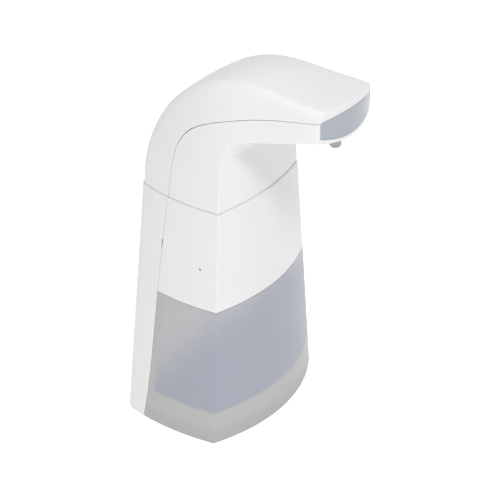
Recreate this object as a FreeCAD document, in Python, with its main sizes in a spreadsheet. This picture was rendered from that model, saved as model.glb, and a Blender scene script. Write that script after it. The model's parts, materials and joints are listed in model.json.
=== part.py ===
import FreeCAD, Part
import math
import os
import Sketcher
from FreeCAD import Placement, Rotation, Vector

# Touch-free soap dispenser that hangs on a wall plate.
# X is left and right, the front faces -Y, Z is up.  The model is drawn with the foot at Z = 0 and the
# wall at Y = 0, then every piece is lowered so that the origin is the centre of the wall screws.

doc = FreeCAD.newDocument("soap_dispenser")

# ---------------------------------------------------------------- driving dimensions (mm)
DIMENSIONS = [
    # housing
    ("wall", 2.2, "thickness of the housing shells"),
    ("gap", 0.3, "visible joint between two shells"),
    ("seam_height", 158.0, "joint between the head and the lower housing"),
    ("tank_top_edge", 92.0, "joint between the white front cover and the clear tank"),
    ("foot_front_half", 65.0, "half width across the front edges at the foot"),
    ("seam_front_half", 50.6, "the same at the head joint"),
    ("foot_depth", 76.8, "wall to front edges at the foot"),
    ("seam_depth", 70.3, "the same at the head joint"),
    ("foot_rear_half", 54.5, "half width at the wall, at the foot"),
    ("seam_rear_half", 33.1, "the same at the head joint"),
    ("foot_bulge", 16.2, "rise of the curved front at the foot"),
    ("seam_bulge", 5.9, "the same at the head joint"),
    ("side_bow", 4.5, "outward bow of the sides"),
    ("rear_corner", 14.0, "radius of the rear corners"),
    ("edge_chamfer", 1.1, "chamfer round the top of the lower housing"),
    # head
    ("crown_radius", 76.0, "radius from the back of the head to its top"),
    ("crown_centre_y", -76.0, "centre of that curve"),
    ("crown_centre_z", 164.6, "centre of that curve"),
    ("top_fall", 0.14, "slope of the top towards the tip"),
    ("fillet_radius", 17.0, "inside corner under the spout"),
    ("fillet_y", -86.6, "centre of that corner"),
    ("fillet_z", 189.5, "centre of that corner"),
    ("spout_rise", 0.158, "slope of the spout's lower edges"),
    ("spout_reach", 135.3, "wall to the tip of the spout"),
    ("tip_radius", 100.0, "plan radius of the tip"),
    ("tip_half", 35.6, "half width of the spout at the tip corners"),
    ("tip_corner", 4.5, "radius of the tip's upright corners"),
    ("window_half", 32.6, "half width of the sensor window"),
    ("window_low", 215.5, "lower edge of the window at its ends"),
    ("window_high", 226.4, "upper edge of the window at its ends"),
    ("nozzle_y", -123.6, "wall to the nozzle's axis"),
    ("nozzle_end", 198.0, "height of the nozzle's mouth"),
    ("nozzle_radius", 3.8, "outside radius of the nozzle"),
    # inner frame and wall plate
    ("panel_front", 28.0, "wall to the front of the inner frame"),
    ("panel_thick", 2.0, "thickness of the inner frame"),
    ("mount_height", 95.0, "height of the wall screws' centre above the foot"),
    ("plate_width", 44.0, "wall plate"),
    ("plate_height", 110.0, "wall plate"),
    ("plate_thick", 2.5, "wall plate"),
    ("screw_pitch_x", 30.0, "wall screws, side to side"),
    ("screw_pitch_z", 80.0, "wall screws, up and down"),
    ("screw_hole", 2.5, "radius of the wall screw holes"),
    ("hook_width", 10.0, "hooks of the wall plate"),
    # tank
    ("tank_floor", 22.0, "height of the tank's inner floor"),
    ("tank_wall", 2.2, "thickness of the tank"),
    ("tank_back", 30.0, "wall to the back of the tank"),
    ("tank_roof", 150.0, "height of the tank's top"),
    ("filler_y", -52.5, "centre of the filler"),
    ("filler_radius", 13.5, "outside radius of the filler's neck"),
    ("cap_radius", 16.5, "outside radius of the filler cap"),
    ("outlet_height", 140.0, "height of the plug-in outlet"),
    ("outlet_y", -39.5, "axis of the dip tube"),
    ("rail_x", 30.0, "slide rails under the tank"),
    # pump
    ("pump_y", -28.0, "axis of the pump"),
    ("pump_base", 160.9, "underside of the pump"),
    ("gear_centres", 12.1, "distance between the gear shafts"),
    ("gear_teeth", 12.0, "teeth on each gear"),
    ("gear_module", 1.0, "size of the teeth"),
    ("gear_face", 6.0, "width of the gears"),
    ("shaft_radius", 1.25, "gear shafts"),
    ("running_gap", 0.04, "radial clearance of the shafts"),
    ("motor_radius", 9.6, "motor"),
    ("motor_length", 25.0, "motor"),
    ("tube_outer", 3.0, "outside radius of the soft tubes"),
    ("tube_inner", 2.0, "inside radius of the soft tubes"),
    # batteries
    ("cell_radius", 7.1, "battery cells"),
    ("cell_length", 50.0, "battery cells"),
    ("cell_pitch", 16.0, "battery cells, side to side"),
    ("cell_y", -16.4, "axis of the cells"),
    ("cell_low", 33.4, "lower end of the cells that stand on a spring"),
    ("bay_low", 28.0, "bottom of the battery bay"),
    ("bay_high", 84.4, "top of the battery bay"),
]

sheet = doc.addObject("Spreadsheet::Sheet", "dims")
for row, (alias, value, meaning) in enumerate(DIMENSIONS, start=1):
    sheet.set("A%d" % row, alias)
    sheet.set("B%d" % row, str(value))
    sheet.set("C%d" % row, meaning)
    sheet.setAlias("B%d" % row, alias)
doc.recompute()


def dim(alias):
    """Value of a driving dimension."""
    return float(sheet.get(alias))


LOWERED = Placement(Vector(0, 0, -dim("mount_height")), Rotation())
sub_parts = []


def keep(obj, label):
    """Name a finished sub-part and put its origin at the wall screws."""
    obj.Label = label
    obj.Placement = LOWERED.multiply(obj.Placement)
    obj.setExpression(".Placement.Base.z", "%.6g - <<dims>>.mount_height"
                      % (obj.Placement.Base.z + dim("mount_height")))
    sub_parts.append(obj)
    return obj


def feature(label, shape):
    """Sub-part whose shape is worked out below from the sheet."""
    obj = doc.addObject("Part::Feature", label)
    obj.Shape = shape
    return keep(obj, label)


# ---------------------------------------------------------------- shape helpers
def box(x_low, x_high, y_low, y_high, z_low, z_high):
    return Part.makeBox(x_high - x_low, y_high - y_low, z_high - z_low, Vector(x_low, y_low, z_low))


def rod(radius, start, end):
    """Round bar between two points."""
    axis = Vector(*end) - Vector(*start)
    return Part.makeCylinder(radius, axis.Length, Vector(*start), axis)


def ring(outer, inner, start, end):
    return rod(outer, start, end).cut(rod(inner, start, end))


def mirrored(shape):
    """The same shape on the other side of X = 0."""
    return shape.mirror(Vector(0, 0, 0), Vector(1, 0, 0))


def both_sides(shape):
    return [shape, mirrored(shape)]


def cut_all(shape, tools):
    for tool in tools:
        shape = shape.cut(tool)
    return shape


def join_all(shape, others):
    for other in others:
        shape = shape.fuse(other)
    return shape


def arc(first, middle, last):
    return Part.Arc(first, middle, last).toShape()


# ---------------------------------------------------------------- outline of the housing
class Section:
    """Cross-section of the housing: a rear edge with round corners, bowed sides that end in two sharp
    front edges, and a curved front.  rear and front are points (y, z) on the centre line; the section
    runs from one to the other, so it lies flat in the body and turns upright along the spout."""

    def __init__(self, rear, front, rear_half, front_half, bulge, bow, corner, crown):
        self.rear = rear
        self.front = front
        self.rear_half = rear_half
        self.front_half = front_half
        self.bulge = bulge
        self.bow = bow
        self.corner = corner
        self.crown = crown

    def inset(self, depth):
        """The same section, smaller all round."""
        along = self.direction() * depth
        return Section((self.rear[0] + along.y, self.rear[1] + along.z),
                       (self.front[0] - along.y, self.front[1] - along.z),
                       self.rear_half - depth, self.front_half - depth * 1.15, self.bulge, self.bow,
                       max(self.corner - depth, 1.0), self.crown)

    def direction(self):
        way = Vector(0, self.front[0] - self.rear[0], self.front[1] - self.rear[1])
        return way.normalize()

    def wire(self):
        way = self.direction()
        depth = math.hypot(self.front[0] - self.rear[0], self.front[1] - self.rear[1])

        def place(x, v):
            return Vector(x, self.rear[0] + way.y * v, self.rear[1] + way.z * v)

        # Circle of the bowed side, through the rear and front ends of that side.
        start = Vector(self.rear_half, self.crown, 0)
        end = Vector(self.front_half, depth, 0)
        chord = end - start
        side_radius = (chord.Length ** 2 / 4 + self.bow ** 2) / (2 * self.bow)
        inward = Vector(-chord.y, chord.x, 0).normalize()
        side_centre = (start + end) * 0.5 + inward * (side_radius - self.bow)
        # Round corner that touches the rear edge and the side.
        reach = side_radius - self.corner
        if self.crown > 0:
            rear_radius = (self.rear_half ** 2 + self.crown ** 2) / (2 * self.crown)
            rear_centre = Vector(0, rear_radius, 0)
            corner_centre = meet(rear_centre, rear_radius - self.corner, side_centre, reach)
            on_rear = rear_centre + (corner_centre - rear_centre).normalize() * rear_radius
        else:
            across = math.sqrt(reach ** 2 - (self.corner - side_centre.y) ** 2)
            corner_centre = Vector(side_centre.x + across, self.corner, 0)
            on_rear = Vector(corner_centre.x, 0, 0)
        on_side = side_centre + (corner_centre - side_centre).normalize() * side_radius
        outward = (on_rear - corner_centre) + (on_side - corner_centre)
        on_corner = corner_centre + outward.normalize() * self.corner
        side_way = (on_side - side_centre) + (end - side_centre)
        on_bow = side_centre + side_way.normalize() * side_radius

        def half(side):
            points = [place(side * p.x, p.y) for p in (on_rear, on_corner, on_side, on_bow, end)]
            return [arc(points[0], points[1], points[2]), arc(points[2], points[3], points[4])]

        left = half(-1)
        right = half(1)
        rear_left = place(-on_rear.x, on_rear.y)
        rear_right = place(on_rear.x, on_rear.y)
        if self.crown > 0:
            rear_edge = arc(rear_left, place(0, 0), rear_right)
        else:
            rear_edge = Part.LineSegment(rear_left, rear_right).toShape()
        front_edge = arc(place(-self.front_half, depth), place(0, depth + self.bulge),
                         place(self.front_half, depth))
        return Part.Wire([rear_edge, right[0], right[1], front_edge, left[1], left[0]])


def meet(first, first_radius, second, second_radius):
    """Point where two circles cross, on the side away from the centre line."""
    apart = second - first
    along = (first_radius ** 2 - second_radius ** 2 + apart.Length ** 2) / (2 * apart.Length)
    height = math.sqrt(first_radius ** 2 - along ** 2)
    way = Vector(apart).normalize()
    base = first + way * along
    sideways = Vector(-way.y, way.x, 0) * height
    return max(base + sideways, base - sideways, key=lambda point: point.x)


def between(first, last, share):
    return first + (last - first) * share


def body_section(height, inset=0.0):
    """Flat section of the lower housing; its widths change evenly from the foot to the head joint."""
    share = height / dim("seam_height")
    whole = Section((0.0, height), (-between(dim("foot_depth"), dim("seam_depth"), share), height),
                    between(dim("foot_rear_half"), dim("seam_rear_half"), share),
                    between(dim("foot_front_half"), dim("seam_front_half"), share),
                    between(dim("foot_bulge"), dim("seam_bulge"), share),
                    dim("side_bow"), dim("rear_corner"), 0.0)
    return whole.inset(inset) if inset else whole


def body_block(inset, low, high):
    """Solid inside the lower housing's outline, between two heights."""
    wires = [body_section(low, inset).wire(), body_section(high, inset).wire()]
    return Part.makeLoft(wires, True, True)


# Widths along the head: at the joint, where the bend starts, where it ends, and past the tip.
HEAD_WIDTHS = {
    #             rear_half, front_half, bulge, bow, corner, crown
    "joint":      (32.8, 50.2, 5.9, 4.5, 14.0, 0.3),
    "bend_start": (29.5, 47.6, 5.3, 4.2, 14.0, 0.8),
    "bend_end":   (30.0, 41.8, 5.5, 2.0, 10.0, 2.0),
    "past_tip":   (33.5, 33.5, 5.3, 0.8, 6.0, 1.0),
}


def blend_widths(first, last, share):
    pairs = zip(HEAD_WIDTHS[first], HEAD_WIDTHS[last])
    return [between(a, b, share) for a, b in pairs]


def head_sections():
    """Sections up the neck, round the bend like a fan about the inside corner, and out to the tip."""
    joint = dim("seam_height")
    radius = dim("crown_radius")
    crown_y, crown_z = dim("crown_centre_y"), dim("crown_centre_z")
    fillet_y, fillet_z = dim("fillet_y"), dim("fillet_z")
    inner = dim("fillet_radius")
    top = crown_z + radius
    sections = []
    step_back = 0.4

    def back_of_head(z):
        return crown_y + math.sqrt(radius ** 2 - max(z - crown_z, 0.0) ** 2)

    neck_front = -dim("seam_depth") + step_back
    bend_front = fillet_y + inner
    for share in (-0.4, 0.0, 0.5):
        z = between(joint, fillet_z, share)
        sections.append(Section((back_of_head(z) - step_back * (1 - share), z),
                                (between(neck_front, bend_front, share), z),
                                *blend_widths("joint", "bend_start", share)))
    last_turn = 90 - math.degrees(math.atan(dim("spout_rise")))
    turns = 5
    for index in range(turns):
        share = index / (turns - 1)
        angle = math.radians(last_turn * share)
        ray_y, ray_z = math.cos(angle), math.sin(angle)
        # Where the ray from the inside corner leaves through the round back or the sloping top.
        towards = (fillet_y - crown_y) * ray_y + (fillet_z - crown_z) * ray_z
        offset = (fillet_y - crown_y) ** 2 + (fillet_z - crown_z) ** 2 - radius ** 2
        reach = -towards + math.sqrt(towards ** 2 - offset)
        if fillet_y + reach * ray_y < crown_y:
            reach = (top - fillet_z + dim("top_fall") * (fillet_y - crown_y)) \
                / (ray_z - dim("top_fall") * ray_y)
        sections.append(Section((fillet_y + reach * ray_y, fillet_z + reach * ray_z),
                                (fillet_y + inner * ray_y, fillet_z + inner * ray_z),
                                *blend_widths("bend_start", "bend_end", share)))
    spout_start = sections[-1].front
    spout_end = -dim("spout_reach") - 8.0
    for share in (0.34, 0.67, 1.0):
        y = between(spout_start[0], spout_end, share)
        low = spout_start[1] + (spout_start[0] - y) * dim("spout_rise")
        high = top + (y - crown_y) * dim("top_fall")
        sections.append(Section((y, high), (y, low), *blend_widths("bend_end", "past_tip", share)))
    return sections


def tip_prism(inset):
    """Plan outline of the spout's end: a shallow arc with two round corners."""
    radius = dim("tip_radius") - inset
    centre_y = -dim("spout_reach") + dim("tip_radius")
    half = dim("tip_half") - inset
    taper = 0.14
    back_y = -100.0
    corner_y = centre_y - math.sqrt(radius ** 2 - half ** 2)
    back_half = half + taper * (back_y - corner_y)
    points = [Vector(-half, corner_y, 0), Vector(-back_half, back_y, 0), Vector(-90, back_y, 0),
              Vector(-90, 40, 0), Vector(90, 40, 0), Vector(90, back_y, 0),
              Vector(back_half, back_y, 0), Vector(half, corner_y, 0)]
    edges = [Part.LineSegment(a, b).toShape() for a, b in zip(points, points[1:])]
    edges.append(arc(points[-1], Vector(0, centre_y - radius, 0), points[0]))
    prism = Part.Face(Part.Wire(edges)).extrude(Vector(0, 0, 300))
    uprights = [edge for edge in prism.Edges
                if abs(edge.Vertexes[0].Y - corner_y) < 0.01 and abs(edge.Vertexes[-1].Y - corner_y) < 0.01
                and abs(edge.Vertexes[0].X - edge.Vertexes[-1].X) < 0.01]
    return prism.makeFillet(dim("tip_corner"), uprights)


def head_block(inset):
    wires = [(section.inset(inset) if inset else section).wire() for section in head_sections()]
    return Part.makeLoft(wires, True, False).common(tip_prism(inset))


def rear_zone(shift):
    """Everything behind the long side joint, which leans forward up the body and then follows the
    spout.  shift moves the joint back and up (+) or forward and down (-)."""
    joint = [(-18.7, -5.0), (-24.8, 85.0), (-31.0, 176.0), (-34.3, 193.5), (-43.0, 205.2),
             (-58.5, 213.2), (-90.0, 221.2), (-129.0, 225.6), (-150.0, 226.8)]
    curve = Part.BSplineCurve()
    curve.interpolate([Vector(-100, y, z) for y, z in joint])
    first, last = joint[0], joint[-1]
    outside = [Vector(-100, y, z) for y, z in (last, (last[0], 280.0), (40.0, 280.0), (40.0, first[1]), first)]
    edges = [curve.toShape()] + [Part.LineSegment(a, b).toShape() for a, b in zip(outside, outside[1:])]
    zone = Part.Face(Part.Wire(edges)).extrude(Vector(200, 0, 0))
    zone.translate(Vector(0, shift, shift))
    return zone


def window_prism(shrink):
    """Front view of the sensor window: lower edge sags with the spout's underside."""
    half = dim("window_half") - shrink
    low = dim("window_low") + shrink
    high = dim("window_high") - shrink
    sag, rise, corner = 5.0, 1.8, 2.2
    y = -dim("spout_reach") - 5
    bottom = arc(Vector(-half, y, low), Vector(0, y, low - sag), Vector(half, y, low))
    top = arc(Vector(half, y, high), Vector(0, y, high + rise), Vector(-half, y, high))
    right = Part.LineSegment(Vector(half, y, low), Vector(half, y, high)).toShape()
    left = Part.LineSegment(Vector(-half, y, high), Vector(-half, y, low)).toShape()
    prism = Part.Face(Part.Wire([bottom, right, top, left])).extrude(Vector(0, 24, 0))
    along = [edge for edge in prism.Edges if abs(edge.Vertexes[0].Y - edge.Vertexes[-1].Y) > 20]
    return prism.makeFillet(corner, along)


# ---------------------------------------------------------------- bodies made from sketches
def new_body(label):
    return doc.addObject("PartDesign::Body", label + "_body")


def sketch_on(body, name, plane, offset="0"):
    """Empty sketch on one of the body's own planes, moved along the plane's normal by a sheet formula."""
    sketch = body.newObject("Sketcher::SketchObject", name)
    support = [part for part in body.Origin.OriginFeatures if part.Role == plane][0]
    sketch.AttachmentSupport = [(support, "")]
    sketch.MapMode = "FlatFace"
    sketch.setExpression(".AttachmentOffset.Base.z", offset)
    return sketch


def draw_rectangle(sketch, left, bottom, right, top):
    """Rectangle whose four sides are sheet formulas."""
    corners = [Vector(0, 0, 0), Vector(9, 0, 0), Vector(9, 9, 0), Vector(0, 9, 0)]
    first = sketch.GeometryCount
    for index in range(4):
        sketch.addGeometry(Part.LineSegment(corners[index], corners[(index + 1) % 4]))
    for index in range(4):
        sketch.addConstraint(constraint("Coincident", first + index, 2, first + (index + 1) % 4, 1))
    sketch.addConstraint([constraint("Horizontal", first), constraint("Vertical", first + 1),
                          constraint("Horizontal", first + 2), constraint("Vertical", first + 3)])
    for kind, formula, line in (("DistanceX", left, 0), ("DistanceY", bottom, 0),
                                ("DistanceX", right, 2), ("DistanceY", top, 2)):
        number = sketch.addConstraint(constraint(kind, -1, 1, first + line, 1, 5.0))
        sketch.setExpression("Constraints[%d]" % number, formula)


def draw_circle(sketch, across, along, radius):
    """Circle whose centre and radius are sheet formulas."""
    number = sketch.addGeometry(Part.Circle(Vector(5, 5, 0), Vector(0, 0, 1), 2))
    for kind, formula in (("DistanceX", across), ("DistanceY", along)):
        place = sketch.addConstraint(constraint(kind, -1, 1, number, 3, 5.0))
        sketch.setExpression("Constraints[%d]" % place, formula)
    size = sketch.addConstraint(constraint("Radius", number, 2.0))
    sketch.setExpression("Constraints[%d]" % size, radius)


def draw_outline(sketch, points):
    """Closed outline through points given as pairs of sheet formulas."""
    first = sketch.GeometryCount
    count = len(points)
    spread = [Vector(6 * math.cos(2 * math.pi * index / count), 6 * math.sin(2 * math.pi * index / count), 0)
              for index in range(count)]
    for index in range(count):
        sketch.addGeometry(Part.LineSegment(spread[index], spread[(index + 1) % count]))
    for index in range(count):
        sketch.addConstraint(constraint("Coincident", first + index, 2, first + (index + 1) % count, 1))
    for index, formulas in enumerate(points):
        for kind, formula in zip(("DistanceX", "DistanceY"), formulas):
            number = sketch.addConstraint(constraint(kind, -1, 1, first + index, 1, 1.0))
            sketch.setExpression("Constraints[%d]" % number, formula)


def constraint(*values):
    return Sketcher.Constraint(*values)


def pad(body, sketch, length, backwards=False):
    grown = body.newObject("PartDesign::Pad", sketch.Name + "_pad")
    grown.Profile = sketch
    grown.setExpression("Length", length)
    grown.Reversed = backwards
    return grown


def pocket(body, sketch, length, backwards=False):
    """Cut whose direction is checked by volume."""
    doc.recompute()
    before = body.Shape.Volume
    cut = body.newObject("PartDesign::Pocket", sketch.Name + "_pocket")
    cut.Profile = sketch
    cut.setExpression("Length", length)
    cut.Reversed = backwards
    doc.recompute()
    if body.Shape.Volume > before - 0.01:
        raise ValueError("the pocket of %s cuts nothing" % sketch.Name)
    return cut


def revolve(body, sketch, plane_axis="V_Axis"):
    turned = body.newObject("PartDesign::Revolution", sketch.Name + "_turned")
    turned.Profile = sketch
    turned.ReferenceAxis = (sketch, [plane_axis])
    turned.Angle = 360.0
    return turned


def turned_part(label, points, x="0", y="0", z="0"):
    """Round piece about an upright axis, from half an outline of (radius, height) formulas."""
    body = new_body(label)
    sketch = sketch_on(body, label + "_profile", "XZ_Plane")
    draw_outline(sketch, points)
    revolve(body, sketch)
    for axis, formula in (("x", x), ("y", y), ("z", z)):
        body.setExpression(".Placement.Base." + axis, formula)
    return body


def keep_body(body, label):
    """Name a finished body; its height is counted from the wall screws."""
    body.Label = label
    height = dict(body.ExpressionEngine).get(".Placement.Base.z", "0")
    body.setExpression(".Placement.Base.z", "(%s) - <<dims>>.mount_height" % height)
    sub_parts.append(body)
    return body


D = "<<dims>>."


# ---------------------------------------------------------------- wall plate
def make_wall_plate():
    """Flat plate for four wall screws, with three hooks that hold the housing."""
    body = new_body("wall_plate")
    middle = D + "mount_height"
    plate = sketch_on(body, "plate", "XZ_Plane")
    draw_rectangle(plate, "-" + D + "plate_width / 2", "%s - %splate_height / 2" % (middle, D),
                   D + "plate_width / 2", "%s + %splate_height / 2" % (middle, D))
    pad(body, plate, D + "plate_thick")
    holes = sketch_on(body, "screw_holes", "XZ_Plane")
    for side in ("-", ""):
        for level in ("-", "+"):
            draw_circle(holes, "%s%sscrew_pitch_x / 2" % (side, D),
                        "%s %s %sscrew_pitch_z / 2" % (middle, level, D), D + "screw_hole")
    pocket(body, holes, D + "plate_thick", backwards=True)
    stems = sketch_on(body, "hook_stems", "XZ_Plane")
    lips = sketch_on(body, "hook_lips", "XZ_Plane", D + "plate_thick + 2.9")
    for x, z in HOOKS:
        left = "%g - %shook_width / 2" % (x, D)
        right = "%g + %shook_width / 2" % (x, D)
        draw_rectangle(stems, left, "%s + %g" % (middle, z), right, "%s + %g" % (middle, z + 2.5))
        draw_rectangle(lips, left, "%s + %g" % (middle, z), right, "%s + %g" % (middle, z + 5.5))
    pad(body, stems, D + "plate_thick + 4.4")
    pad(body, lips, "1.5")
    keep_body(body, "wall_plate")


# Hook places, counted from the middle of the plate: two high and one low.
HOOKS = [(-12.0, 44.0), (12.0, 44.0), (0.0, -50.0)]
HOOK_TRAVEL = 7.0


# ---------------------------------------------------------------- housing shells
def lower_shell():
    """Skin of the lower housing, open at the top, with the chamfer at the head joint."""
    joint = dim("seam_height") - dim("gap") / 2
    chamfer = dim("edge_chamfer")
    edge_low = joint - chamfer
    outer = body_block(0.0, 0.0, edge_low)
    edge = Part.makeLoft([body_section(edge_low).wire(), body_section(joint, chamfer * 0.8).wire()], True, True)
    inner = body_block(dim("wall"), dim("wall"), dim("seam_height") + 5)
    return outer.fuse(edge).cut(inner)


def make_rear_cover(skin):
    """Rear half of the lower housing with the pocket for the wall plate, screw posts and pry slots."""
    cover = skin.common(rear_zone(dim("gap") / 2))
    half = dim("plate_width") / 2 + 0.6
    low = dim("mount_height") - dim("plate_height") / 2 - HOOK_TRAVEL - 0.6
    high = dim("mount_height") + dim("plate_height") / 2 + 0.6
    floor = 3.0
    thick = dim("wall")
    cover = cover.fuse(box(-half - thick, half + thick, -floor - thick, -0.01, low - thick, high + thick)
                       .common(body_block(0.0, 0.0, high + thick + 1)))
    cuts = [box(-half, half, -floor, 1, low, high)]
    for x, z in HOOKS:
        slot = dim("hook_width") / 2 + 0.5
        base = dim("mount_height") + z
        cuts.append(box(x - slot, x + slot, -8, 1, base - HOOK_TRAVEL, base + 2.8))
    posts = [rod(3.6, (x, -thick + 0.1, z), (x, -panel_back(), z)) for x, z in POSTS]
    for x, y in DECK_SCREWS[:2]:
        posts.append(box(x - 3.4, x + 3.4, y - 4, -thick + 0.1, joint_low() - 14, joint_low() - 0.8))
        posts.append(rod(3.0, (x, y, joint_low() - 1), (x, y, joint_low())))
    cover = join_all(cover, posts)
    cuts += [rod(1.25, (x, -8, z), (x, -panel_back() - 1, z)) for x, z in POSTS]
    cuts += [rod(1.25, (x, y, joint_low() - 12), (x, y, joint_low() + 1)) for x, y in DECK_SCREWS[:2]]
    cuts += both_sides(box(38, 56, -32, -26.2, 121.5, 128.5))
    return cut_all(cover, cuts)


def panel_back():
    """Wall to the back of the inner frame's panel."""
    return dim("panel_front") - dim("panel_thick")


def joint_low():
    """Underside of the pump deck."""
    return dim("seam_height") + 0.4


# Screw posts that hold the inner frame, as (x, z), and the screws of the pump deck, as (x, y).
POSTS = [(-41.0, 14.0), (41.0, 14.0), (-22.0, 143.0), (22.0, 143.0)]
DECK_SCREWS = [(-26.0, -8.0), (26.0, -8.0), (-42.5, -56.0), (42.5, -56.0)]
COVER_SCREWS = [(-39.0, -46.0), (39.0, -46.0), (-30.0, -66.0), (30.0, -66.0)]


def make_front_cover(skin):
    """White skin in front of the upper tank, with a ledge that is screwed to the tank."""
    low = dim("tank_top_edge")
    cover = skin.common(box(-90, 90, -120, 20, low, 200)).cut(rear_zone(-dim("gap") / 2))
    roof = dim("tank_roof")
    ledge = body_block(dim("wall") - 0.1, roof + 0.1, roof + 2.3)
    ledge = ledge.cut(body_block(11.0, roof, roof + 3)).common(box(-90, 90, -120, -38, 0, 200))
    cap_hole = rod(dim("cap_radius") + 1.5, (0, dim("filler_y"), 140), (0, dim("filler_y"), 160))
    cover = cover.fuse(ledge.cut(cap_hole))
    cuts = [rod(1.25, (x, y, roof), (x, y, roof + 5)) for x, y in COVER_SCREWS]
    cuts.append(rod(0.8, (-60, -59.1, 118.1), (-50.7, -59.1, 118.1)))
    return cut_all(cover, cuts)


def make_tank():
    """Clear tank: its lower part is the visible skin, its upper part hides inside the front cover."""
    wall = dim("tank_wall")
    floor = dim("tank_floor")
    edge = dim("tank_top_edge") - dim("gap")
    roof = dim("tank_roof")
    back = -dim("tank_back")
    shoulder = dim("wall") + 0.4
    skin = body_block(0.0, 0.0, edge).cut(rear_zone(-dim("gap") / 2))
    upper = body_block(shoulder, edge - 0.01, roof).common(box(-90, 90, -120, back, 0, 200))
    whole = skin.fuse(upper)
    front = box(-90, 90, -120, back - wall, floor, roof - wall)
    hollows = [body_block(wall, floor, edge - wall).common(front),
               body_block(shoulder + wall, edge - wall - 0.01, roof - wall).common(front),
               body_block(wall, -1, floor - 2.0),
               body_block(wall, floor - 2.01, edge + 1).common(box(-90, 90, back, 20, 0, 200))]
    tank = cut_all(whole, hollows)
    neck_low = (0, dim("filler_y"), roof - wall)
    neck_high = (0, dim("filler_y"), roof + 4.4)
    tank = tank.fuse(rod(dim("filler_radius"), neck_low, neck_high))
    bosses = [rod(3.4, (x, y, roof - 10), (x, y, roof - 0.5)) for x, y in COVER_SCREWS]
    rails = both_sides(box(dim("rail_x") - 7.4, dim("rail_x") + 7.4, -64, -33, 6, floor - 1.9))
    tank = join_all(tank, bosses + rails)
    cuts = [rod(dim("filler_radius") - 2, (0, dim("filler_y"), roof - 5), (0, dim("filler_y"), roof + 6)),
            rod(4.0, (0, back - 6, dim("outlet_height")), (0, back + 6, dim("outlet_height")))]
    cuts += both_sides(box(dim("rail_x") - 5.4, dim("rail_x") + 5.4, -66, -30, 7.6, 13.4))
    cuts += [rod(1.25, (x, y, roof - 8), (x, y, roof + 1)) for x, y in COVER_SCREWS]
    return cut_all(tank, cuts)


def head_shells():
    """Top cover and under cover of the head."""
    outer = head_block(0.0).common(box(-90, 90, -200, 50, dim("seam_height") + dim("gap") / 2, 300))
    skin = outer.cut(head_block(dim("wall"))).cut(window_prism(0.0))
    top = skin.common(rear_zone(dim("gap") / 2))
    under = skin.cut(rear_zone(-dim("gap") / 2))
    posts = [rod(3.4, (x, y, joint_low() + 2.3), (x, y, joint_low() + 14)) for x, y in DECK_SCREWS[2:]]
    posts += both_sides(box(44, 49, -57, -55, joint_low() + 2.3, joint_low() + 14))
    inside = head_block(0.5)
    under = join_all(under, [post.common(inside) for post in posts])
    cuts = [rod(1.25, (x, y, joint_low()), (x, y, joint_low() + 10)) for x, y in DECK_SCREWS[2:]]
    cuts.append(rod(dim("nozzle_radius") + 0.3, (0, dim("nozzle_y"), 195), (0, dim("nozzle_y"), 215)))
    return top, cut_all(under, cuts)


def make_window():
    """Curved pane that fills the opening in the tip, a little behind the rim."""
    centre = (0, -dim("spout_reach") + dim("tip_radius"))
    face = dim("tip_radius") - 0.35
    pane = ring(face, face - 2.0, (centre[0], centre[1], 200), (centre[0], centre[1], 240))
    return pane.common(window_prism(0.12))


# ---------------------------------------------------------------- inner frame and pump deck
def make_chassis():
    """Tray that closes the rear cover, with the two rails the tank slides on."""
    front = -dim("panel_front")
    tray = body_block(dim("wall") + 0.5, 3.5, 155.0).common(box(-90, 90, front, -11, 0, 200))
    behind_panel = box(-90, 90, front + dim("panel_thick"), 0, 0, 200)
    hollow = body_block(dim("wall") + 2.5, 5.5, 153.0).common(behind_panel)
    tray = tray.cut(hollow).common(slide_clearance())
    rails = both_sides(box(dim("rail_x") - 5, dim("rail_x") + 5, -62, front + 1, 8, 13))
    tray = join_all(tray, rails)
    cuts = [box(-33.6, 33.6, -40, -20, 26.4, 88.6),
            box(-7.4, 7.4, -40, -25, 132.6, 160),
            box(-7.4, 7.4, -40, 0, 150, 160),
            rod(3.3, (BUTTON_X, -40, BUTTON_Z), (BUTTON_X, -20, BUTTON_Z))]
    cuts += [rod(1.5, (x, -40, z), (x, -20, z)) for x, z in POSTS]
    cuts += [box(x - 4, x + 4, -13, 0, 130, 170) for x, y in DECK_SCREWS[:2]]
    return cut_all(tray, cuts)


BUTTON_X, BUTTON_Z = 24.0, 118.0


def slide_clearance():
    """Upright wedge no wider than the mouth of the front cover and tank, which pass over the frame."""
    foot, head = 57.4, 41.8
    corners = [Vector(-foot, 0, 0), Vector(foot, 0, 0), Vector(head, 0, dim("seam_height")),
               Vector(-head, 0, dim("seam_height")), Vector(-foot, 0, 0)]
    return Part.Face(Part.makePolygon(corners)).extrude(Vector(0, -100, 0))


def make_pump_deck():
    """Floor of the head: carries the pump and joins the two head covers to the rear cover."""
    low = joint_low()
    outline = body_section(dim("seam_height"), dim("wall") + 0.9).wire()
    deck = Part.Face(outline).extrude(Vector(0, 0, 2.2))
    deck.translate(Vector(0, 0, low - dim("seam_height")))
    cuts = [rod(1.5, (x, y, low - 1), (x, y, low + 5)) for x, y in DECK_SCREWS]
    cuts += [rod(2.7, (x, y, low - 1), (x, y, low + 1.5)) for x, y in DECK_SCREWS[2:]]
    cuts.append(rod(4.0, (0, dim("pump_y") + PORT, low - 1), (0, dim("pump_y") + PORT, low + 5)))
    return cut_all(deck, cuts)


# ---------------------------------------------------------------- gear pump
PORT = 4.5


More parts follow.
